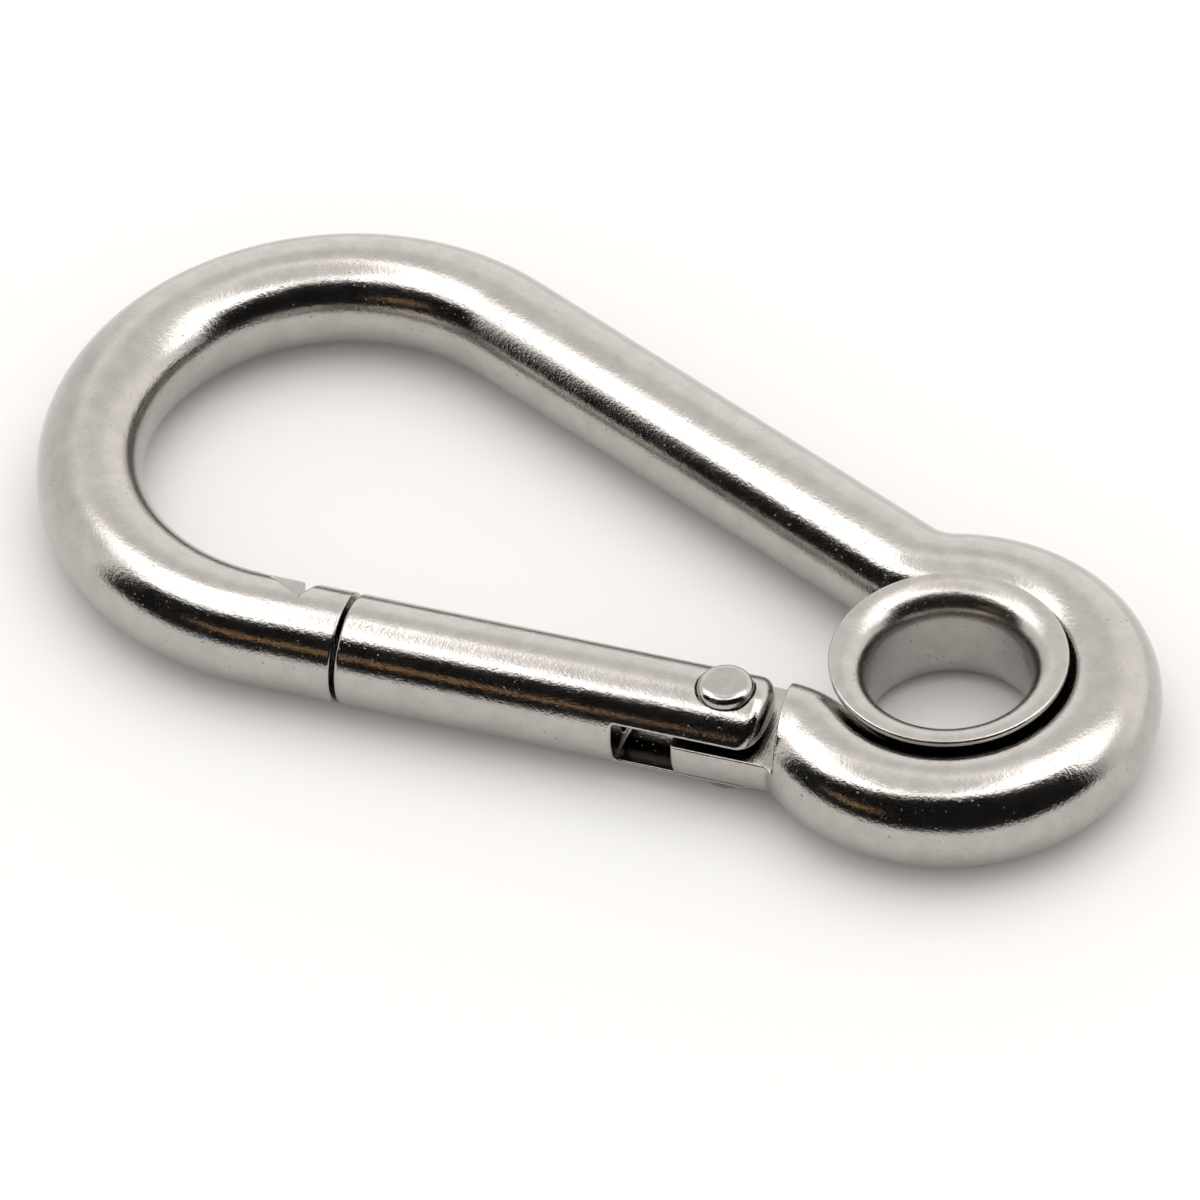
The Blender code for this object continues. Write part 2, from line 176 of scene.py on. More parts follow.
# Small roundings
TONGUE_END_ROUNDING = 0.6 * MM
MILLED_EDGE = 0.15 * MM
HOLE_EDGE = 0.12 * MM
EAR_HOLE_EDGE = 0.05 * MM
SEAT_CORNER = 0.1 * MM
NOTCH_CORNER = 0.2 * MM
SLOT_ROUNDING = 0.35 * MM
EAR_BLEND = 3 * MM  # length over which the ears' rounding grows
NECK_FILLET = 0.2 * MM
LATCH_FILLET = 0.25 * MM
BORE_CORNER = 0.3 * MM
BORE_EDGE = 0.1 * MM
GATE_EDGE = 0.18 * MM
STEEPEST_LEAN = 0.98  # keeps the rounding between nearly parallel faces finite

SHADE_IN_PITS = 0.2  # colour of the darkest marks, as a share of the steel's own

# Patterns in the steel, in repeats per metre
RIPPLE_SCALE = 170.0
EYELET_RIPPLE_SCALE = 260.0
PEEL_SCALE = 2400.0
SAND_SCALE = 5200.0
EYELET_SAND_SCALE = 5600.0
PIT_SCALE = 3000.0
MOTTLE_SCALE = 450.0
EYELET_MOTTLE_SCALE = 420.0

# Tent. Angles are in degrees, upwards from the floor or aside from the middle of its opening.
DEGREES = 180 / math.pi
TENT_RADIUS = 0.25
OPENING_MIDDLE = math.radians(-67.5)  # from +X
OPENING_HALF = 79.5
OPENING_TOP = 64.0
OPENING_TOP_ASIDE = 5.5
OPENING_DROOP = 0.0036  # fall of its upper edge for each squared degree aside
THRESHOLD_GLOW = 0.5  # at the floor, where the opening ends
SEAM_RISE = 24.0
SEAM_GLOW = 1.3
SEAM_COLOUR = (1, 0.55, 0.2)
CLOTH_COLOUR = (1, 0.985, 0.97)


# ---- solids by distance

def meet(a, b, rounding=0.0, lean=0.0):
    """Where two solids overlap, its edge rounded. lean is the cosine between their faces' normals."""
    a, b = a + rounding, b + rounding
    corner = np.sqrt(np.maximum(a * a + b * b - 2 * a * b * lean, 0) / (1 - lean * lean))
    return np.where((a > lean * b) & (b > lean * a), corner, np.maximum(a, b)) - rounding


def cut(solid, tool, rounding=0.0, lean=0.0):
    return meet(solid, -tool, rounding, -lean)


def join(a, b, rounding=0.0):
    return -meet(-a, -b, rounding)


def slab(x, low, high):
    return np.maximum(low - x, x - high)


def ramp(x, low, high):
    share = np.clip((x - low) / (high - low), 0, 1)
    return share * share * (3 - 2 * share)


def graded(start, *runs):
    """Grid lines from start. Each run is a step and where it ends. A run that ends too early is skipped."""
    lines = [start]
    for step, end in runs:
        while lines[-1] < end:
            lines.append(lines[-1] + step)
    return np.array(lines)


def section_lines(step):
    """Even grid lines across the bar, alike on both sides of its middle."""
    reach = math.ceil(BAR_RADIUS / step + 1) * step
    return graded(-reach, (step, reach))


def surface_net(solid, lines):
    """A closed skin of quads over a solid: one point in each grid cell that its surface crosses."""
    values = solid(*np.meshgrid(*lines, indexing="ij"))
    cells = [len(line) - 1 for line in lines]
    sums = np.zeros((math.prod(cells), 4))
    quads = []
    for axis in range(3):
        ends = [values.take(range(k, values.shape[axis] - 1 + k), axis) for k in (0, 1)]
        edges = np.argwhere((ends[0] < 0) != (ends[1] < 0))
        start, end = (side[tuple(edges.T)] for side in ends)
        points = np.stack([lines[k][edges[:, k]] for k in range(3)], axis=1)
        run = lines[axis][edges[:, axis] + 1] - lines[axis][edges[:, axis]]
        points[:, axis] += run * start / (start - end)
        side, up = np.roll(np.eye(3, dtype=int), -axis, axis=0)[1:]
        around = [edges + side * a + up * b for a, b in ((-1, -1), (0, -1), (0, 0), (-1, 0))]
        around = np.stack([np.ravel_multi_index(cell.T, cells) for cell in around], axis=1)
        for cell in around.T:
            for k in range(3):
                sums[:, k] += np.bincount(cell, points[:, k], len(sums))
            sums[:, 3] += np.bincount(cell, minlength=len(sums))
        around[start >= 0] = around[start >= 0, ::-1]
        quads.append(around)
    quads = np.concatenate(quads)
    used = np.flatnonzero(sums[:, 3])
    places = np.zeros(len(sums), dtype=int)
    places[used] = np.arange(len(used))
    return sums[used, :3] / sums[used, 3:], places[quads]


def slope_of(solid, points):
    step = 0.004 * MM
    slopes = []
    for k in range(3):
        shift = np.zeros(3)
        shift[k] = step
        slopes.append((solid(*(points + shift).T) - solid(*(points - shift).T)) / (2 * step))
    return np.stack(slopes, axis=1)


def settle(solid, points, reach):
    """Moves points onto the surface, each by no more than reach a time, and gives the outward normals."""
    for _ in range(4):
        slope = slope_of(solid, points)
        steep = np.maximum((slope * slope).sum(axis=1), 0.03)
        move = np.clip(solid(*points.T) / steep, -reach, reach)
        points = points - slope * move[:, None]
    slope = slope_of(solid, points)
    return points, slope / np.linalg.norm(slope, axis=1)[:, None]


def skin_mesh(name, solid, lines, reach):
    points, quads = surface_net(solid, lines)
    points, normals = settle(solid, points, reach)
    mesh = bpy.data.meshes.new(name)
    mesh.from_pydata(points, [], quads)
    keep_vectors(mesh, "facing", normals)
    return mesh


def keep_vectors(mesh, name, vectors):
    mesh.attributes.new(name, "FLOAT_VECTOR", "POINT")
    write_vectors(mesh, name, vectors)


def write_vectors(mesh, name, vectors):
    flat = np.asarray(vectors, dtype=np.float32).ravel()
    mesh.attributes[name].data.foreach_set("vector", flat)


def read_vectors(mesh, name):
    values = np.zeros(len(mesh.vertices) * 3, dtype=np.float32)
    mesh.attributes[name].data.foreach_get("vector", values)
    return values.reshape(-1, 3)


def shade_by_facing(mesh):
    """Shades the mesh by its stored normals, and drops them."""
    mesh.shade_smooth()
    mesh.normals_split_custom_set_from_vertices(read_vectors(mesh, "facing"))
    mesh.attributes.remove(mesh.attributes["facing"])


def new_object(name, data):
    made = bpy.data.objects.new(name, data)
    bpy.context.collection.objects.link(made)
    return made


# ---- the bar's route

def angle(direction):
    return math.atan2(direction.y, direction.x)


def short_turn(start, end):
    return (end - start + math.pi) % math.tau - math.pi


def arc_points(centre, radius, start, sweep):
    count = math.ceil(abs(sweep) / math.radians(0.75))
    turns = [start + sweep * k / count for k in range(count + 1)]
    return [centre + Vector((math.cos(t), math.sin(t), 0)) * radius for t in turns]


def kink_centre(out, along, radius):
    """The centre of the reverse bend that joins an arm to the eye's ring."""
    away = NECK_OFFSET + radius
    back = math.sqrt((EYE_RADIUS + radius) ** 2 - away**2)
    return Vector((EYE.x, EYE.y, 0)) + out * away - along * back


def bar_route():
    """The bar's middle line in runs: gate arm, kink, eye, kink, back arm, bow, nose arm."""
    eye = Vector((EYE.x, EYE.y, 0))
    pivot = Vector((PIVOT.x, PIVOT.y, 0))
    back_out = Vector((OUTWARD.x, -OUTWARD.y, 0))
    to_eye = -TO_NOSE
    back_along = Vector((to_eye.x, -to_eye.y, 0))
    gate_kink = kink_centre(OUTWARD, to_eye, GATE_KINK_RADIUS)
    back_kink = kink_centre(back_out, back_along, BACK_KINK_RADIUS)
    runs = [[pivot - to_eye * TONGUE_REACH, gate_kink - OUTWARD * GATE_KINK_RADIUS]]
    start, end = angle(-OUTWARD), angle(eye - gate_kink)
    runs.append(arc_points(gate_kink, GATE_KINK_RADIUS, start, short_turn(start, end)))
    start, end = angle(gate_kink - eye), angle(back_kink - eye)
    runs.append(arc_points(eye, EYE_RADIUS, start, (end - start) % math.tau))
    start, end = angle(eye - back_kink), angle(-back_out)
    runs.append(arc_points(back_kink, BACK_KINK_RADIUS, start, short_turn(start, end)))
    start, end = angle(back_out), angle(OUTWARD)
    bow = arc_points(BOW, BOW_RADIUS, start, (end - start) % math.tau)
    runs.append([runs[-1][-1], bow[0]])
    runs.append(bow)
    runs.append([bow[-1], pivot - to_eye * NOSE_END])
    return runs


def run_ends(runs):
    """The length along the route at which each run ends."""
    total, ends = 0.0, []
    for run in runs:
        total += sum((b - a).length for a, b in zip(run, run[1:]))
        ends.append(total)
    return ends


def joined(runs):
    return [p for k, run in enumerate(runs) for p in (run if k == 0 else run[1:])]


def bend_plan(runs):
    """Follows the bend in plan. Its answer, for a length along the route and a distance outwards, is the
    place in the gate's own axes and how much the bend stretches the bar there."""
    points = np.array([(p.x - PIVOT.x, p.y - PIVOT.y) for p in joined(runs)])
    hops = np.diff(points, axis=0)
    sizes = np.linalg.norm(hops, axis=1)
    lengths = np.concatenate(([0], np.cumsum(sizes)))
    ways = hops / sizes[:, None]
    ways = np.concatenate((ways[:1], ways[1:] + ways[:-1], ways[-1:]))
    turns = np.unwrap(np.arctan2(ways[:, 1], ways[:, 0]))
    bends = np.gradient(turns, lengths)

    def plan(s, u):
        turn = np.interp(s, lengths, turns)
        x = np.interp(s, lengths, points[:, 0]) + u * np.sin(turn)
        y = np.interp(s, lengths, points[:, 1]) - u * np.cos(turn)
        stretch = np.maximum(1 + u * np.interp(s, lengths, bends), 0.1)
        return x * TO_NOSE.x + y * TO_NOSE.y, x * OUTWARD.x + y * OUTWARD.y, stretch

    return plan


def route_curve(runs):
    points = joined(runs)
    curve = bpy.data.curves.new("bar_route", "CURVE")
    curve.dimensions = "3D"
    spline = curve.splines.new("POLY")
    spline.points.add(len(points) - 1)
    for point, place in zip(spline.points, points):
        point.co = (place.x, place.y, LEVEL, 1)
    return new_object("bar_route", curve)


# ---- nodes

class Wire:
    """A node's output. Operators on wires that carry numbers add Math nodes."""

    def __init__(self, tree, socket):
        self.tree = tree
        self.socket = socket

    def output(self, name):
        return Wire(self.tree, self.socket.node.outputs[name])

    def maths(self, operation, *values):
        inputs = dict(enumerate(values))
        return node(self.tree, "ShaderNodeMath", {"operation": operation}, inputs)

    def __add__(self, other):
        return self.maths("ADD", self, other)

    def __radd__(self, other):
        return self.maths("ADD", other, self)

    def __sub__(self, other):
        return self.maths("SUBTRACT", self, other)

    def __rsub__(self, other):
        return self.maths("SUBTRACT", other, self)

    def __mul__(self, other):
        return self.maths("MULTIPLY", self, other)

    def __rmul__(self, other):
        return self.maths("MULTIPLY", other, self)

    def __truediv__(self, other):
        return self.maths("DIVIDE", self, other)

    def __pow__(self, other):
        return self.maths("POWER", self, other)

    def rises(self, low, high, bottom=0.0, top=1.0):
        """bottom below low, top above high, and smooth between."""
        settings = {"interpolation_type": "SMOOTHSTEP"}
        inputs = {"Value": self, "From Min": low, "From Max": high, "To Min": bottom, "To Max": top}
        return node(self.tree, "ShaderNodeMapRange", settings, inputs)


def node(tree, kind, settings=None, inputs=None, output=0):
    """Adds a node: its settings first, then the values or links of its sockets, by name or number."""
    made = tree.nodes.new(kind)
    for name, value in (settings or {}).items():
        setattr(made, name, value)
    for name, value in (inputs or {}).items():
        if isinstance(value, Wire):
            tree.links.new(value.socket, made.inputs[name])
        else:
            made.inputs[name].default_value = value
    return Wire(tree, made.outputs[output]) if made.outputs else made


def vector_maths(tree, operation, *values, output=0):
    return node(tree, "ShaderNodeVectorMath", {"operation": operation}, dict(enumerate(values)), output)


def scaled(tree, vector, share):
    return node(tree, "ShaderNodeVectorMath", {"operation": "SCALE"}, {0: vector, "Scale": share})


def split(tree, vector):
    first = node(tree, "ShaderNodeSeparateXYZ", inputs={0: vector})
    return first, first.output("Y"), first.output("Z")


def combine(tree, x=0.0, y=0.0, z=0.0):
    return node(tree, "ShaderNodeCombineXYZ", inputs={0: x, 1: y, 2: z})


def shape_tree(name, inputs):
    """An empty Geometry Nodes group and the wires of its named inputs."""
    tree = bpy.data.node_groups.new(name, "GeometryNodeTree")
    tree.interface.new_socket("Geometry", in_out="INPUT", socket_type="NodeSocketGeometry")
    tree.interface.new_socket("Geometry", in_out="OUTPUT", socket_type="NodeSocketGeometry")
    for label, kind in inputs:
        tree.interface.new_socket(label, in_out="INPUT", socket_type=kind)
    entry = node(tree, "NodeGroupInput")
    return tree, {label: entry.output(label) for label in ["Geometry"] + [label for label, _ in inputs]}


def finish_tree(tree, shape, finish):
    """Ends the group with real geometry and one material."""
    real = node(tree, "GeometryNodeRealizeInstances", inputs={"Geometry": shape})
    faced = node(tree, "GeometryNodeSetMaterial", inputs={"Geometry": real, "Material": finish})
    node(tree, "NodeGroupOutput", inputs={"Geometry": faced})


def run_tree(name, mesh, tree, values):
    """The plain mesh object that the group makes of a mesh."""
    base = new_object(name, mesh)
    step = base.modifiers.new(tree.name, "NODES")
    step.node_group = tree
    for item in tree.interface.items_tree:
        if item.in_out == "INPUT" and item.name in values:
            step[item.identifier] = values[item.name]
    bpy.context.view_layer.update()
    settled = base.evaluated_get(bpy.context.evaluated_depsgraph_get())
    made = bpy.data.meshes.new_from_object(settled)
    base.modifiers.clear()
    base.data = made
    made.name = name
    bpy.data.meshes.remove(mesh)
    bpy.data.node_groups.remove(tree)
    return base


# ---- finishes

def shader(name):
    made = bpy.data.materials.new(name)
    made.use_nodes = True
    made.node_tree.nodes.clear()
    return made, made.node_tree


def noise(tree, place, scale, detail=2.0, roughness=0.5, distortion=0.0):
    settings = {"noise_dimensions": "3D"}
    inputs = {
        "Vector": place,
        "Scale": scale,
        "Detail": detail,
        "Roughness": roughness,
        "Distortion": distortion,
    }
    return node(tree, "ShaderNodeTexNoise", settings, inputs)


def stretched(tree, place, x, y, z):
    return vector_maths(tree, "MULTIPLY", place, (x, y, z))


def bump(tree, height, depth, below=None):
    inputs = {"Height": height, "Distance": depth, "Strength": 1.0}
    if below:
        inputs["Normal"] = below
    return node(tree, "ShaderNodeBump", inputs=inputs)


def metal_output(tree, colour, roughness, normal):
    inputs = {"Base Color": colour, "Metallic": 1.0, "Roughness": roughness, "Normal": normal}
    surface = node(tree, "ShaderNodeBsdfPrincipled", inputs=inputs)
    node(tree, "ShaderNodeOutputMaterial", inputs={"Surface": surface})


def tinted(tree, share, dark, bright):
    settings = {"data_type": "RGBA"}
    inputs = {0: share, 6: (*dark, 1), 7: (*bright, 1)}
    return node(tree, "ShaderNodeMix", settings, inputs, 2)


def uneven(tree, place, finish, ripple_scale, sand_scale):
    """The unevenness that tumbling leaves: a wide ripple, peel and a sandy grain."""
    normal = bump(tree, noise(tree, place, ripple_scale, 1.0), finish.ripple)
    normal = bump(tree, noise(tree, place, PEEL_SCALE, 2.0, 0.55), finish.peel, normal)
    return bump(tree, noise(tree, place, sand_scale, 2.0, 0.6), finish.sand, normal)


def worn_output(tree, place, finish, roughness, mottle_scale, normal):
    """Ends a finish with mottled, pitted steel."""
    mottle = noise(tree, place, mottle_scale, 3.0, 0.6)
    pits = noise(tree, place, PIT_SCALE, 1.0, 0.4).rises(0.72, 0.79)
    roughness = roughness + (mottle - 0.5) * 0.12 + pits * 0.2
    normal = bump(tree, 1 - pits, finish.pits, normal)
    steel = Vector(finish.steel)
    shade = mottle.rises(0.3, 0.7, 0.86, 1.0) * (1 - pits * 0.5)
    metal_output(tree, tinted(tree, shade, steel * SHADE_IN_PITS, steel), roughness, normal)


def tumbled_steel(name, finish):
    """Tumble-polished bar: rippled, sandy, with pits and fine marks across and along the bar."""
    made, tree = shader(name)
    place = node(tree, "ShaderNodeTexCoord", output="Object")
    straight = node(tree, "ShaderNodeAttribute", {"attribute_name": "straight"}, output="Vector")
    across = noise(tree, stretched(tree, straight, 9000.0, 500.0, 500.0), 1.0, 2.0, 0.6)
    along = noise(tree, stretched(tree, straight, 350.0, 5200.0, 5200.0), 1.0, 2.0, 0.6)
    patches = noise(tree, place, 140.0, 2.0).rises(0.45, 0.62)
    milled = node(tree, "ShaderNodeAttribute", {"attribute_name": "milled"}, output="Fac")
    cutter = noise(tree, stretched(tree, straight, 4200.0, 90.0, 90.0), 1.0, 3.0, 0.7)
    normal = uneven(tree, place, finish, RIPPLE_SCALE, SAND_SCALE)
    normal = bump(tree, across * patches, finish.marks, normal)
    normal = bump(tree, along, finish.marks * 0.5, normal)
    normal = bump(tree, cutter * milled, finish.cutter_lines, normal)
    worn_output(tree, place, finish, finish.roughness, MOTTLE_SCALE, normal)
    return made


def formed_steel(name, finish, middle):
    """Pressed eyelet: satin, with faint rings from turning and short marks down the bore."""
    made, tree = shader(name)
    place = node(tree, "ShaderNodeTexCoord", output="Object")
    centred = vector_maths(tree, "SUBTRACT", place, tuple(middle))
    x, y, z = split(tree, centred)
    out = (x * x + y * y) ** 0.5
    turn = x.maths("ARCTAN2", y, x)
    rings = noise(tree, combine(tree, out * 5200.0, z * 1500.0, turn * 0.8), 1.0, 3.0, 0.6)
    drawn = noise(tree, combine(tree, turn * 60.0, z * 160.0, out * 60.0), 1.0, 3.0, 0.65)
    normal = uneven(tree, place, finish, EYELET_RIPPLE_SCALE, EYELET_SAND_SCALE)
    normal = bump(tree, rings, finish.marks, normal)
    normal = bump(tree, drawn, finish.marks, normal)
    worn_output(tree, place, finish, finish.satin, EYELET_MOTTLE_SCALE, normal)
    return made


def rivet_steel(name, finish, colour):
    """Bright turned pin: nearly smooth, with a fine grain."""
    made, tree = shader(name)
    place = node(tree, "ShaderNodeTexCoord", output="Object")
    mottle = noise(tree, place, 700.0, 3.0, 0.6)
    sand = noise(tree, place, SAND_SCALE, 2.0, 0.6)
    peel = noise(tree, place, 1500.0, 2.0, 0.5)
    roughness = finish.roughness + (mottle - 0.5) * 0.15
    normal = bump(tree, peel, finish.peel)
    normal = bump(tree, sand, finish.sand, normal)
    steel = Vector(colour)
    shade = mottle.rises(0.3, 0.7, 0.85, 1.0)
    metal_output(tree, tinted(tree, shade, steel * SHADE_IN_PITS, steel), roughness, normal)
    return made


def drawn_wire(name, finish):
    """Spring wire: duller, with die lines that the noise breaks up."""
    made, tree = shader(name)
    place = node(tree, "ShaderNodeTexCoord", output="Object")
    streaks = noise(tree, place, 3200.0, 3.0, 0.7)
    steel = Vector(finish.wire)
    colour = tinted(tree, streaks.rises(0.3, 0.7, 0.7, 1.0), steel * SHADE_IN_PITS, steel)
    roughness = finish.wire_roughness + (streaks - 0.5) * 0.2
    metal_output(tree, colour, roughness, bump(tree, streaks, finish.sand))
    return made


# ---- solids of this hook

def straight_bar(total, plan, rounding, lip_rounding):
    """The hook's bar before it is bent: s along the route, u outwards, v up."""

    def solid(s, u, v):
        shape = meet(np.hypot(u, v) - BAR_RADIUS, -s, TONGUE_END_ROUNDING)
        x, y, _ = plan(s, u)
        past_shoulder = np.maximum(SHOULDER - SHOULDER_SLOPE * y - x, s - HINGE_END)
        above = meet(TONGUE_TOP - v, past_shoulder, MILLED_EDGE)
        below = meet(v - TONGUE_FLOOR, past_shoulder, MILLED_EDGE)
        shape = cut(shape, above, MILLED_EDGE)
        shape = cut(shape, below, rounding)
        shape = cut(shape, np.hypot(TONGUE_REACH - s, u) - HOLE_RADIUS, HOLE_EDGE)
        x = NOSE_END + total - s
        shape = meet(shape, NOSE_END - x, rounding)
        dx, dy = x - NOTCH[0], u - NOTCH[1]
        steep = Vector((BAR_RADIUS + NOTCH[1], NOTCH[0] - LIP)).normalized()
        wall = -steep.x * dx + steep.y * dy
        floor = math.sin(NOTCH_SLOPE) * dx + math.cos(NOTCH_SLOPE) * dy
        notch = meet(wall, floor, NOTCH_CORNER)
        near_lip = ramp(-dx, *LIP_BLEND)
        shape = cut(shape, notch, MILLED_EDGE + (lip_rounding - MILLED_EDGE) * near_lip)
        slot = meet(slab(v, -NOSE_SLOT_HALF, NOSE_SLOT_HALF), u - NOSE_SLOT_FLOOR, NOTCH_CORNER)
        slot = meet(slot, x - LATCH_BACK)
        return cut(shape, slot, MILLED_EDGE)

    return solid


def ear_end(x, y, out):
    """How far a point lies past the ears' outline in plan, and how that outline leans on the round bar."""
    n = np.where(y > 0, *EAR_SQUARENESS)
    k = ((np.abs(x) / EAR_REACH) ** n + (np.abs(y) / BAR_RADIUS) ** n) ** (1 / n)
    steep_x = np.abs(x) ** (n - 1) / EAR_REACH**n
    steep_y = np.abs(y) ** (n - 1) / BAR_RADIUS**n
    steep = np.maximum(np.hypot(steep_x, steep_y), 1e-9)
    past = np.where(x < 0, (k - 1) * k ** (n - 1) / steep, np.abs(y) - BAR_RADIUS)
    lean = np.where(x < 0, np.abs(y) / np.maximum(out, 1e-9) * steep_y / steep, 1)
    return past, np.clip(lean, 0, STEEPEST_LEAN)


def gate_solid(front_rounding, ear_rounding, rounding):
    """The gate in its own axes: x from the rivet to the nose, y outwards, z up from the bar's middle."""

    def solid(x, y, z):
        out = np.hypot(y, z)
        shape = meet(out - BAR_RADIUS, x - GATE_LENGTH, front_rounding)
        past, lean = ear_end(x, y, out)
        shape = meet(shape, past, ear_rounding * ramp(-x, 0, EAR_BLEND), lean)
        neck = meet(slab(y, *LATCH_NECK), slab(z, -LATCH_NECK_HALF, LATCH_NECK_HALF), rounding)
        neck = meet(neck, slab(x, LATCH_ROOT, LATCH_NECK_END), rounding)
        dx, dy = x - LATCH_BACK, y - LATCH_PEAK
        slope = math.sin(NOTCH_SLOPE) * dx + math.cos(NOTCH_SLOPE) * dy
        head = meet(meet(LATCH_BACK - x, LATCH_INNER - y, rounding), slope, rounding)
        head = meet(head, slab(z, -LATCH_HEAD_HALF, LATCH_HEAD_HALF), rounding)
        shape = join(shape, join(neck, head, NECK_FILLET), LATCH_FILLET)
        slot = meet(slab(z, SLOT_FLOOR, SLOT_TOP), x - SLOT_REACH, SLOT_ROUNDING)
        shape = cut(shape, slot, SLOT_ROUNDING)
        around = np.hypot(x, y)
        shape = cut(shape, around - HOLE_RADIUS, EAR_HOLE_EDGE)
        seat_radius = RIVET_HEAD_RADIUS + SEAT_CLEARANCE
        seat = meet(around - seat_radius, SEAT_LEVEL - np.abs(z), SEAT_CORNER)
        shape = cut(shape, seat, HOLE_EDGE)
        bore = meet(out - BORE_RADIUS, slab(x, BORE_START, BORE_END), BORE_CORNER)
        return cut(shape, bore, BORE_EDGE)

    return solid


def rounded(points, radii, steps=7, hold=0.03 * MM):
    """A path with its corners rounded. A point close beside each corner keeps flat sides flat."""
    path = []
    for k, (point, radius) in enumerate(zip(points, radii)):
        here = Vector(point)
        if radius == 0:
            path.append(here)
            continue
        into = (Vector(points[k - 1]) - here).normalized()
        away = (Vector(points[(k + 1) % len(points)]) - here).normalized()
        half = into.angle(away) / 2
        back = radius / math.tan(half)
        centre = here + (into + away).normalized() * (radius / math.sin(half))
        first, last = here + into * back, here + away * back
        path.append(first + into * hold)
        start, sweep = first - centre, (first - centre).angle(last - centre)
        side = (last - centre - start * math.cos(sweep)) / math.sin(sweep)
        for j in range(steps + 1):
            turn = sweep * j / steps
            path.append(centre + start * math.cos(turn) + side * math.sin(turn))
        path.append(last + away * hold)
    return path


def turned_mesh(name, path, sides, closed, place):
    """A path of (radius, height) spun about Z, then put in its place by a matrix."""
    points, faces, rings = [], [], []
    for radius, height in path:
        if radius < 1e-9:
            rings.append([len(points)] * sides)
            points.append((0, 0, height))
            continue
        rings.append(list(range(len(points), len(points) + sides)))
        for k in range(sides):
            turn = math.tau * k / sides
            points.append((radius * math.cos(turn), radius * math.sin(turn), height))
    for j in range(len(rings) if closed else len(rings) - 1):
        low, high = rings[j], rings[(j + 1) % len(rings)]
        for k in range(sides):
            n = (k + 1) % sides
            faces.append(list(dict.fromkeys((low[k], low[n], high[n], high[k]))))
    mesh = bpy.data.meshes.new(name)
    mesh.from_pydata(points, [], faces)
    mesh.transform(place)
    mesh.shade_smooth()
    return mesh


def gate_axes():
    """Turns the gate's own axes into the frame's, about the rivet."""
    return Matrix.Translation(PIVOT) @ Matrix((TO_NOSE, OUTWARD, UP)).transposed().to_4x4()


def along_gate():
    """Turns Z into the gate's length, for pieces turned about it."""
    return gate_axes() @ Matrix(((0, 0, 1, 0), (1, 0, 0, 0), (0, 1, 0, 0), (0, 0, 0, 1)))


# ---- settings

def length_setting(name, description, default, low, high):
    return FloatProperty(
        name=name, description=description, default=default, min=low, max=high, unit="LENGTH", precision=5,
    )


def depth_setting(name, description, default):
    return FloatProperty(
        name=name, description=description, default=default, min=0, unit="LENGTH", precision=6,
    )


def share_setting(name, description, default):
    return FloatProperty(
        name=name, description=description, default=default, min=0, max=1, subtype="FACTOR",
    )


def colour_setting(name, description, default):
    return FloatVectorProperty(
        name=name, description=description, default=default, min=0, max=1, subtype="COLOR",
    )


class SnapHookSizes(bpy.types.PropertyGroup):
    edge_rounding: length_setting(
        "Edge rounding", "Rounding of the milled edges", 0.25 * MM, 0.05 * MM, 0.4 * MM
    )
    lip_rounding: length_setting(
        "Lip rounding", "Rounding of the notch's lip on the nose", 0.25 * MM, 0.1 * MM, 0.8 * MM
    )
    front_rounding: length_setting(
        "Gate front rounding", "Rounding of the gate's front edge", 0.55 * MM, 0.2 * MM, 1.5 * MM
    )
    ear_rounding: length_setting(
        "Ear rounding", "Rounding over the ends of the ears", 1.6 * MM, 0.1 * MM, 2 * MM
    )
    spring_turns: IntProperty(
        name="Spring turns", description="Turns of the coil spring", default=11, min=4, max=16,
    )
    spring_wire: length_setting("Spring wire", "Diameter of the spring's wire", 0.7 * MM, 0.4 * MM, 0.9 * MM)
    skin_step: length_setting(
        "Skin step", "Size of the bar's quads round its section", 0.18 * MM, 0.12 * MM, 1 * MM
    )


class SnapHookFinish(bpy.types.PropertyGroup):
    steel: colour_setting("Steel", "Colour of the polished steel", (0.47, 0.445, 0.42))
    # The plunger's colour is painted shade: near black, it stands for the shade in the gate's slot, not the
    # pin's own colour.
    plunger: colour_setting("Plunger", "Colour of the shaded plunger", (0.1, 0.09, 0.08))
    wire: colour_setting("Spring wire", "Colour of the drawn wire", (0.45, 0.44, 0.42))
    roughness: share_setting("Roughness", "Roughness of the tumbled bar", 0.13)
    satin: share_setting("Eyelet roughness", "Roughness of the pressed eyelet", 0.22)
    wire_roughness: share_setting("Wire roughness", "Roughness of the spring's wire", 0.32)
    ripple: depth_setting("Ripple", "Depth of the wide ripple", 0.04 * MM)
    peel: depth_setting("Peel", "Depth of the fine unevenness", 0.018 * MM)
    sand: depth_setting("Grain", "Depth of the sandy grain", 0.014 * MM)
    marks: depth_setting("Marks", "Depth of the brush marks", 0.003 * MM)
    cutter_lines: depth_setting("Cutter lines", "Depth of the lines on the milled tongue", 0.03 * MM)
    pits: depth_setting("Pits", "Depth of the pits", 0.01 * MM)


class SnapHookStage(bpy.types.PropertyGroup):
    floor: colour_setting("Floor", "Colour of the floor", (0.9, 0.89, 0.88))
    surround: FloatProperty(
        name="Surround", description="Brightness of the even light on the floor", default=0.85, min=0,
    )
    cloth: FloatProperty(
        name="Tent", description="Brightness of the tent's cloth in the steel", default=1.25, min=0,
    )
    border: FloatProperty(
        name="Border", description="Extra brightness of the tent about its opening", default=1.6, min=0,
    )
    opening: FloatProperty(
        name="Opening", description="Brightness of the tent's dark opening", default=0.01, min=0,
    )
    top_light: FloatProperty(
        name="Top light", description="Power of the wide lamp over the hook", default=8.0,
        min=0, unit="POWER",
    )
    camera_distance: FloatProperty(
        name="Camera distance", description="From the hook to the camera", default=1.4,
        min=0.3, unit="LENGTH",
    )


# ---- operators

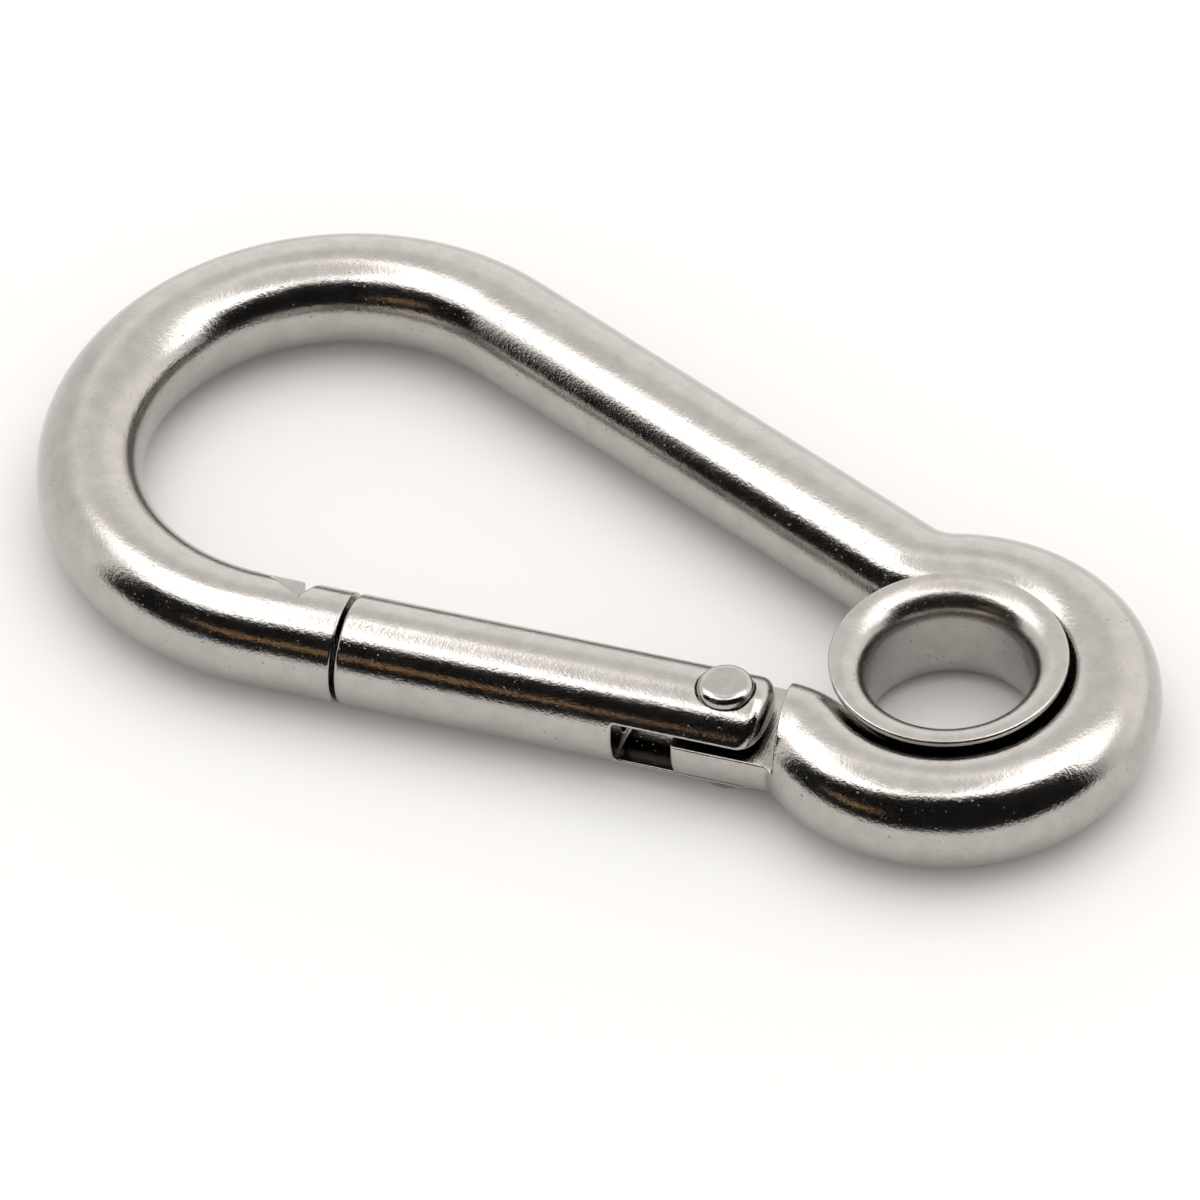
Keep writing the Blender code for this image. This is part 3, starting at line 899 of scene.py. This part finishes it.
class SnapHookBody(bpy.types.Operator):
    """Bend the hook's bar along its route, with the hinge tongue and the notched nose."""

    bl_idname = "snap_hook.body"
    bl_label = "Hook body"

    def execute(self, context):
        sizes = context.scene.snap_hook_sizes
        runs = bar_route()
        ends = run_ends(runs)
        total = ends[-1]
        plan = bend_plan(runs)
        solid = straight_bar(total, plan, sizes.edge_rounding, sizes.lip_rounding)
        section = section_lines(sizes.skin_step)
        lines = graded(
            -0.43 * MM, (0.2 * MM, HINGE_END), (0.6 * MM, ends[1]),
            (1 * MM, ends[2]), (0.6 * MM, ends[3]), (2 * MM, ends[4]), (1.4 * MM, total - NOSE_DETAIL),
            (0.15 * MM, total + GRID_MARGIN),
        )
        mesh = skin_mesh("bent_bar", solid, [lines, section, section], SETTLE_REACH)
        straight = np.array([v.co for v in mesh.vertices])
        keep_vectors(mesh, "straight", straight)
        facing = read_vectors(mesh, "facing")
        facing[:, 0] /= plan(straight[:, 0], straight[:, 1])[2]
        write_vectors(mesh, "facing", facing)
        mark_milled(mesh, straight)
        route = route_curve(runs)
        finish = tumbled_steel("tumbled_steel", context.scene.snap_hook_finish)
        values = {
            "Route": route,
            "Thinning": BOW_THINNING,
            "Thinning start": BOW.x + BOW_EASE * BOW_RADIUS,
            "Thinning end": BOW.x - BOW_RADIUS,
            "Finish": finish,
        }
        piece = run_tree("bent_bar", mesh, bend_tree(), values)
        bpy.data.objects.remove(route)
        shade_by_facing(piece.data)
        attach(piece, "hook")
        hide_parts("hook_body")
        return {"FINISHED"}


def mark_milled(mesh, straight):
    """Marks the tongue's milled faces, which keep the cutter's lines."""
    s, _, v = straight.T
    near = np.minimum(np.abs(v - TONGUE_TOP), np.abs(v - TONGUE_FLOOR)) < ON_FACE
    made = mesh.attributes.new("milled", "FLOAT", "POINT")
    made.data.foreach_set("value", (near & (s < HINGE_END)).astype(np.float32))


def bend_tree():
    """Bends a straight bar along a route. The bar's X is length along it, Y is outwards and Z is up."""
    inputs = [
        ("Route", "NodeSocketObject"),
        ("Thinning", "NodeSocketFloat"),
        ("Thinning start", "NodeSocketFloat"),
        ("Thinning end", "NodeSocketFloat"),
        ("Finish", "NodeSocketMaterial"),
    ]
    tree, given = shape_tree("bend_along_route", inputs)
    route = node(tree, "GeometryNodeObjectInfo", inputs={"Object": given["Route"]}).output("Geometry")
    s, u, v = split(tree, node(tree, "GeometryNodeInputPosition"))
    at = node(tree, "GeometryNodeSampleCurve", {"mode": "LENGTH"}, {"Curves": route, "Length": s})
    place, along = at.output("Position"), at.output("Tangent")
    out = vector_maths(tree, "CROSS_PRODUCT", along, (0, 0, 1))
    x = split(tree, place)[0]
    share = x.rises(given["Thinning start"], given["Thinning end"])
    width = 1 - share * given["Thinning"]
    moved = vector_maths(tree, "ADD", place, scaled(tree, out, u * width))
    moved = vector_maths(tree, "ADD", moved, combine(tree, z=v))
    inputs = {"Name": "facing"}
    settings = {"data_type": "FLOAT_VECTOR"}
    facing = node(tree, "GeometryNodeInputNamedAttribute", settings, inputs)
    fs, fu, fv = split(tree, facing)
    level = vector_maths(tree, "ADD", scaled(tree, along, fs), scaled(tree, out, fu / width))
    turned = vector_maths(tree, "ADD", level, combine(tree, z=fv))
    turned = vector_maths(tree, "NORMALIZE", turned)
    settings = {"data_type": "FLOAT_VECTOR", "domain": "POINT"}
    inputs = {"Geometry": given["Geometry"], "Name": "facing", "Value": turned}
    stored = node(tree, "GeometryNodeStoreNamedAttribute", settings, inputs)
    bent = node(tree, "GeometryNodeSetPosition", inputs={"Geometry": stored, "Position": moved})
    # Along the route, outwards and up make left-handed axes, so the bend turns the skin inside out.
    faced = node(tree, "GeometryNodeFlipFaces", inputs={"Mesh": bent})
    finish_tree(tree, faced, given["Finish"])
    return tree


class SnapHookGate(bpy.types.Operator):
    """Make the gate: forked at the hinge, bored for the spring, with the latch on its front."""

    bl_idname = "snap_hook.gate"
    bl_label = "Gate"

    def execute(self, context):
        sizes = context.scene.snap_hook_sizes
        solid = gate_solid(sizes.front_rounding, sizes.ear_rounding, GATE_EDGE)
        lines = graded(
            -5.7 * MM, (0.16 * MM, 11.2 * MM), (0.8 * MM, 36 * MM), (0.15 * MM, 49.2 * MM),
        )
        section = section_lines(sizes.skin_step * 0.9)
        mesh = skin_mesh("gate_bar", solid, [lines, section, section], SETTLE_REACH)
        keep_vectors(mesh, "straight", [v.co for v in mesh.vertices])
        turn = gate_axes()
        mesh.transform(turn)
        facing = read_vectors(mesh, "facing") @ np.array(turn.to_3x3()).T
        write_vectors(mesh, "facing", facing)
        shade_by_facing(mesh)
        piece = new_object("gate_bar", mesh)
        mesh.materials.append(tumbled_steel("gate_steel", context.scene.snap_hook_finish))
        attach(piece, "gate")
        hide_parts("gate")
        return {"FINISHED"}


class SnapHookRivet(bpy.types.Operator):
    """Turn the hinge rivet, with a flat head above and a closed-over head below."""

    bl_idname = "snap_hook.rivet"
    bl_label = "Hinge rivet"

    def execute(self, context):
        seat = SEAT_LEVEL + SEAT_CLEARANCE
        top, bottom = RIVET_HIGH.z - LEVEL, RIVET_LOW.z - LEVEL
        head = RIVET_HEAD_RADIUS
        across, up = LOWER_CHAMFER
        points = [
            (0, bottom), (head - across, bottom), (head, bottom + up), (head, -seat),
            (SHANK_RADIUS, -seat), (SHANK_RADIUS, seat), (head, seat), (head, top), (0, top),
        ]
        edge = 0.1 * MM
        radii = [0, 0.25 * MM, 0.2 * MM, edge, edge, edge, edge, 0.95 * MM, 0]
        path = rounded(points, radii)
        mesh = turned_mesh("rivet", path, 96, False, Matrix.Translation(PIVOT))
        piece = new_object("rivet", mesh)
        finish = context.scene.snap_hook_finish
        mesh.materials.append(rivet_steel("rivet_steel", finish, finish.steel))
        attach(piece, "gate")
        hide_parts("hinge_rivet")
        return {"FINISHED"}


class SnapHookPlunger(bpy.types.Operator):
    """Turn the plunger that the spring presses against the tongue's end."""

    bl_idname = "snap_hook.plunger"
    bl_label = "Plunger"

    def execute(self, context):
        start, end = PLUNGER
        points = [(0, start), (PLUNGER_RADIUS, start), (PLUNGER_RADIUS, end), (0, end)]
        path = rounded(points, [0, 0.5 * MM, 0.5 * MM, 0])
        mesh = turned_mesh("plunger_pin", path, 64, False, along_gate())
        piece = new_object("plunger_pin", mesh)
        finish = context.scene.snap_hook_finish
        # Painted shade: the plunger gets the near-black colour that stands for the shade in the slot between
        # the ears.
        mesh.materials.append(rivet_steel("plunger_steel_painted_shade", finish, finish.plunger))
        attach(piece, "plunger")
        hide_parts("spring_plunger")
        return {"FINISHED"}


class SnapHookSpring(bpy.types.Operator):
    """Wind the coil spring inside the gate's bore."""

    bl_idname = "snap_hook.spring"
    bl_label = "Spring"

    def execute(self, context):
        sizes = context.scene.snap_hook_sizes
        wire = sizes.spring_wire
        start, end = SPRING[0] + wire / 2, SPRING[1] - wire / 2
        place = along_gate() @ Matrix.Translation((0, 0, start))
        mesh = bpy.data.meshes.new("coil_spring_base")
        values = {
            "Turns": float(sizes.spring_turns),
            "Coil radius": COIL_RADIUS - wire / 2,
            "Coil length": end - start,
            "Wire radius": wire / 2,
            "Place": tuple(place.translation),
            "Turned": tuple(place.to_euler()),
            "Finish": drawn_wire("spring_wire", context.scene.snap_hook_finish),
        }
        piece = run_tree("coil_spring", mesh, spring_tree(), values)
        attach(piece, "gate")
        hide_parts("gate_spring")
        kept = (SPRING[1] - SPRING[0] - PLUNGER_TRAVEL) / (SPRING[1] - SPRING[0])
        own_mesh(piece)
        return {"FINISHED"}


def spring_tree():
    """A coil of round wire, wound along Z and then put in its place."""
    inputs = [
        ("Turns", "NodeSocketFloat"),
        ("Coil radius", "NodeSocketFloat"),
        ("Coil length", "NodeSocketFloat"),
        ("Wire radius", "NodeSocketFloat"),
        ("Place", "NodeSocketVector"),
        ("Turned", "NodeSocketRotation"),
        ("Finish", "NodeSocketMaterial"),
    ]
    tree, given = shape_tree("coil_spring", inputs)
    inputs = {
        "Resolution": 40,
        "Rotations": given["Turns"],
        "Start Radius": given["Coil radius"],
        "End Radius": given["Coil radius"],
        "Height": given["Coil length"],
    }
    coil = node(tree, "GeometryNodeCurveSpiral", inputs=inputs)
    inputs = {"Resolution": 12, "Radius": given["Wire radius"]}
    section = node(tree, "GeometryNodeCurvePrimitiveCircle", inputs=inputs)
    inputs = {"Curve": coil, "Profile Curve": section, "Fill Caps": True}
    wound = node(tree, "GeometryNodeCurveToMesh", inputs=inputs)
    inputs = {"Geometry": wound, "Translation": given["Place"], "Rotation": given["Turned"]}
    placed = node(tree, "GeometryNodeTransform", inputs=inputs)
    smooth = node(tree, "GeometryNodeSetShadeSmooth", inputs={"Geometry": placed})
    finish_tree(tree, smooth, given["Finish"])
    return tree


class SnapHookEyelet(bpy.types.Operator):
    """Turn the eyelet, flared over both faces of the eye."""

    bl_idname = "snap_hook.eyelet"
    bl_label = "Eyelet"

    def execute(self, context):
        level = EYELET_HIGH.z - LEVEL
        land = RIM_RADIUS - RIM_LAND
        steps = 22
        upper = [(BORE, FLARE_START * k / 4) for k in range(4)]
        for k in range(steps + 1):
            turn = math.pi / 2 * k / steps
            height = FLARE_START + (level - FLARE_START) * math.sin(turn)
            upper.append((BORE + (land - BORE) * (1 - math.cos(turn)), height))
        under_rim = level - RIM_EDGE
        corners = [
            upper[-1], (RIM_RADIUS, level), (RIM_RADIUS, under_rim), (RIM_RADIUS - RIM_WIDTH, under_rim),
        ]
        rim = rounded(corners, [0, 0.28 * MM, 0.22 * MM, 0])
        clear = BAR_RADIUS + RIM_GAP
        first = math.acos((EYE_RADIUS - RIM_RADIUS + RIM_EDGE / 2) / clear)
        under = []
        for k in range(1, steps + 1):
            turn = first * (1 - k / steps)
            under.append((EYE_RADIUS - clear * math.cos(turn), clear * math.sin(turn)))
        upper += rim[1:-1] + [p for p in under if p[1] < under_rim - 0.1 * MM]
        lower = [(radius, -height) for radius, height in reversed(upper[1:-1])]
        place = Matrix.Translation(EYE)
        mesh = turned_mesh("flared_eyelet", upper + lower, 160, True, place)
        piece = new_object("flared_eyelet", mesh)
        mesh.materials.append(formed_steel("formed_steel", context.scene.snap_hook_finish, EYE))
        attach(piece, "eyelet")
        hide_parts("eyelet")
        return {"FINISHED"}


class SnapHookStudio(bpy.types.Operator):
    """Lay the floor, light the studio and place the camera."""

    bl_idname = "snap_hook.studio"
    bl_label = "Studio"

    def execute(self, context):
        stage = context.scene.snap_hook_stage
        lay_floor(stage)
        light_studio(context.scene, stage)
        place_camera(context.scene, stage)
        context.scene.view_settings.view_transform = "Standard"
        return {"FINISHED"}


def lay_floor(stage):
    half = 2.0
    level = CAD_BOX[0][2]
    mesh = bpy.data.meshes.new("floor")
    corners = [(-half, -half, level), (half, -half, level), (half, half, level), (-half, half, level)]
    mesh.from_pydata(corners, [], [(0, 1, 2, 3)])
    made, tree = shader("floor_paper")
    inputs = {"Base Color": (*stage.floor, 1), "Roughness": 0.9, "Specular IOR Level": 0.1}
    surface = node(tree, "ShaderNodeBsdfPrincipled", inputs=inputs)
    node(tree, "ShaderNodeOutputMaterial", inputs={"Surface": surface})
    mesh.materials.append(made)
    new_object("floor", mesh)


def light_studio(scene, stage):
    """Even light and a wide lamp for the floor, and a tent that only the steel mirrors."""
    world = bpy.data.worlds.new("studio")
    scene.world = world
    world.use_nodes = True
    tree = world.node_tree
    tree.nodes.clear()
    shown = node(tree, "ShaderNodeLightPath", output="Is Camera Ray")
    level = shown * (1 - stage.surround) + stage.surround
    glow = node(tree, "ShaderNodeBackground", inputs={"Color": (*CLOTH_COLOUR, 1), "Strength": level})
    node(tree, "ShaderNodeOutputWorld", inputs={"Surface": glow})
    lamp = bpy.data.lights.new("top_light", "AREA")
    lamp.shape = "DISK"
    lamp.size = 1.8
    lamp.energy = stage.top_light
    above = new_object("top_light", lamp)
    place = Vector((0, 0.25, 1.3))
    turned = place.to_track_quat("Z", "Y").to_matrix().to_4x4()
    above.matrix_world = Matrix.Translation(place) @ turned
    above.visible_glossy = False
    hang_tent(stage)


def hang_tent(stage):
    """A round tent of white cloth, dark at its opening, bright about it and duller low at the sides."""
    mesh = bpy.data.meshes.new("tent")
    shape = bmesh.new()
    bmesh.ops.create_icosphere(shape, subdivisions=5, radius=TENT_RADIUS)
    shape.to_mesh(mesh)
    shape.free()
    made, tree = shader("tent_cloth")
    place = node(tree, "ShaderNodeTexCoord", output="Object")
    x, y, z = split(tree, vector_maths(tree, "NORMALIZE", place))
    rise = z.maths("ARCSINE", z) * DEGREES
    ahead = x * math.cos(OPENING_MIDDLE) + y * math.sin(OPENING_MIDDLE)
    aside = y * math.cos(OPENING_MIDDLE) - x * math.sin(OPENING_MIDDLE)
    turn = y.maths("ARCTAN2", aside, ahead) * DEGREES
    flat = z.maths("COSINE", rise * (1 / DEGREES))
    top = OPENING_TOP - (turn - OPENING_TOP_ASIDE) ** 2 * OPENING_DROOP
    beside = (turn.maths("ABSOLUTE", turn) - OPENING_HALF) * flat
    outside = rise.maths("MAXIMUM", beside, rise - top)
    opening = outside.rises(-2.0, 2.0, 1.0, 0.0)
    # A bright border, which starts above the low sides
    lift = turn.rises(-10.0, 10.0, 33.0, 23.0)
    border = outside.rises(0.0, 4.0) * beside.rises(18.0, 30.0, 1.0, 0.0)
    border = border * rise.rises(66.0, 73.0, 1.0, 0.0) * (rise - lift).rises(0.0, 13.0)
    # Duller low sides
    right = turn.rises(70.0, 112.0, 0.4, 1.0)
    right = 1 - (1 - right) * turn.rises(0.0, 40.0) * rise.rises(18.0, 30.0, 1.0, 0.0)
    left = turn.rises(-150.0, -138.0, 1.0, 0.72)
    left = 1 - (1 - left) * turn.rises(-100.0, -70.0, 1.0, 0.0) * rise.rises(24.0, 40.0, 1.0, 0.0)
    # Bands one above another
    shade = 1.12 - rise.rises(32.0, 46.0, 0.0, 0.24) + rise.rises(57.0, 67.0, 0.0, 0.28)
    shade = (shade - rise.rises(71.0, 80.0, 0.0, 0.22)) * right * left
    # Inside the opening: a glow along the floor and a warm seam
    threshold = rise.rises(1.0, 5.0, THRESHOLD_GLOW, 0.0)
    seam = turn.maths("ABSOLUTE", rise - SEAM_RISE).rises(0.3, 1.1, 1.0, 0.0)
    seam = seam * turn.rises(-52.0, -44.0) * turn.rises(-24.0, -16.0, 1.0, 0.0) * opening
    inside = threshold + seam * SEAM_GLOW + stage.opening
    level = ((shade + border * stage.border) * (1 - opening) + opening * inside) * stage.cloth
    colour = tinted(tree, seam, CLOTH_COLOUR, SEAM_COLOUR)
    glow = node(tree, "ShaderNodeEmission", inputs={"Color": colour, "Strength": level})
    node(tree, "ShaderNodeOutputMaterial", inputs={"Surface": glow})
    made.cycles.emission_sampling = "NONE"
    mesh.materials.append(made)
    tent = new_object("tent", mesh)
    tent.visible_camera = False
    tent.visible_diffuse = False
    tent.visible_transmission = False
    tent.visible_shadow = False


def place_camera(scene, stage):
    azimuth, elevation, roll = (math.radians(a) for a in (33.827, 44.764, -3.784))
    target = Vector((2.638, -4.501, 5.9)) * MM
    flat = math.cos(elevation)
    back = Vector((math.sin(azimuth) * flat, -math.cos(azimuth) * flat, math.sin(elevation)))
    side = (-back).cross(UP).normalized()
    top = side.cross(-back)
    across = side * math.cos(roll) + top * math.sin(roll)
    upward = top * math.cos(roll) - side * math.sin(roll)
    data = bpy.data.cameras.new("camera")
    data.lens = 431.2
    data.sensor_width = 36
    data.clip_start = 0.05
    made = new_object("camera", data)
    turned = Matrix((across, upward, back)).transposed().to_4x4()
    made.matrix_world = Matrix.Translation(target + back * stage.camera_distance) @ turned
    scene.camera = made


class SnapHookPanel(bpy.types.Panel):
    """Sizes, finishes and steps of the snap hook."""

    bl_idname = "VIEW3D_PT_snap_hook"
    bl_label = "Snap hook"
    bl_space_type = "VIEW_3D"
    bl_region_type = "UI"
    bl_category = "Snap hook"

    def draw(self, context):
        for label, group in (
            ("Sizes", context.scene.snap_hook_sizes),
            ("Finish", context.scene.snap_hook_finish),
            ("Stage", context.scene.snap_hook_stage),
        ):
            box = self.layout.box()
            box.label(text=label)
            for name in group.__annotations__:
                box.prop(group, name)
        for operator in OPERATORS:
            self.layout.operator(operator.bl_idname)


GROUPS = {
    "snap_hook_sizes": SnapHookSizes,
    "snap_hook_finish": SnapHookFinish,
    "snap_hook_stage": SnapHookStage,
}
OPERATORS = (
    SnapHookBody, SnapHookGate, SnapHookRivet, SnapHookPlunger, SnapHookSpring, SnapHookEyelet,
    SnapHookStudio,
)


def register():
    for made in (*GROUPS.values(), *OPERATORS, SnapHookPanel):
        bpy.utils.register_class(made)
    for name, group in GROUPS.items():
        setattr(bpy.types.Scene, name, PointerProperty(type=group))


def unregister():
    for name in GROUPS:
        delattr(bpy.types.Scene, name)
    for made in (SnapHookPanel, *reversed(OPERATORS), *GROUPS.values()):
        bpy.utils.unregister_class(made)


def main():
    register()
    bpy.ops.snap_hook.studio()
    bpy.ops.snap_hook.body()
    bpy.ops.snap_hook.gate()
    bpy.ops.snap_hook.rivet()
    bpy.ops.snap_hook.plunger()
    bpy.ops.snap_hook.spring()
    bpy.ops.snap_hook.eyelet()


if __name__ == "__main__":
    main()
